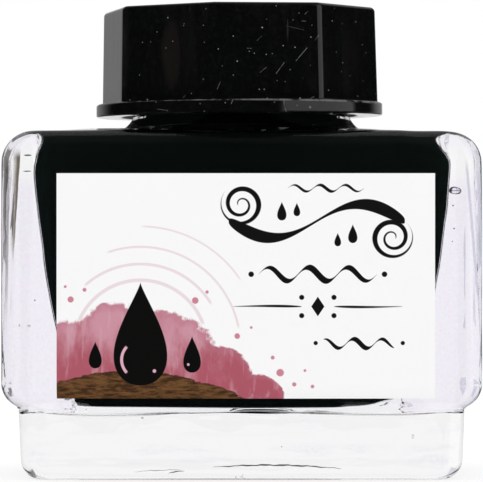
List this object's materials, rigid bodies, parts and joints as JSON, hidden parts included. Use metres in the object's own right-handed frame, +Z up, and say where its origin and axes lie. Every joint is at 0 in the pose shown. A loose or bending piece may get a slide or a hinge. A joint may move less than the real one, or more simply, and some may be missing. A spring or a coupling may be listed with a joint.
{
  "type": "ink bottle",
  "caption": "Small rectangular clear-glass ink bottle on a stepped plinth, with an eight-sided black screw cap, a paper label and its fill of black ink.",
  "frame": {"origin": "middle of the underside of the glass plinth, on the plane the bottle stands on", "axes": "+Z up along the neck, -Y out of the labelled front, +X to the right of someone who looks at the label"},
  "size_m": [0.045, 0.0281, 0.0448],
  "materials": {
    "clear_glass": "polished, slightly uneven pressed glass",
    "black_ink": "liquid, opaque in bulk",
    "label_paper": "smooth coated paper, printed",
    "liner_foam": "white closed-cell foam sheet",
    "black_plastic": "moulded, glossy, lightly scuffed"
  },
  "bodies": {
    "bottle": {"glass_bottle": "clear_glass", "ink": "black_ink", "front_label": "label_paper"},
    "cap_seal": {"cap_liner": "liner_foam"},
    "cap": {"screw_cap": "black_plastic"}
  },
  "joints": [
    {"name": "cap_rise", "type": "slide", "parent": "bottle", "child": "cap_seal", "axis": [0, 0, 1], "range_m": [0, 0.00953]},
    {"name": "cap_turn", "type": "hinge", "parent": "cap_seal", "child": "cap", "pos_m": [0, 0, 0.04], "axis": [0, 0, 1], "range_deg": [0, 1080]}
  ],
  "couplings": [
    {"joint": "cap_rise", "follows": "cap_turn", "m_per_rad": 0.00050532}
  ]
}
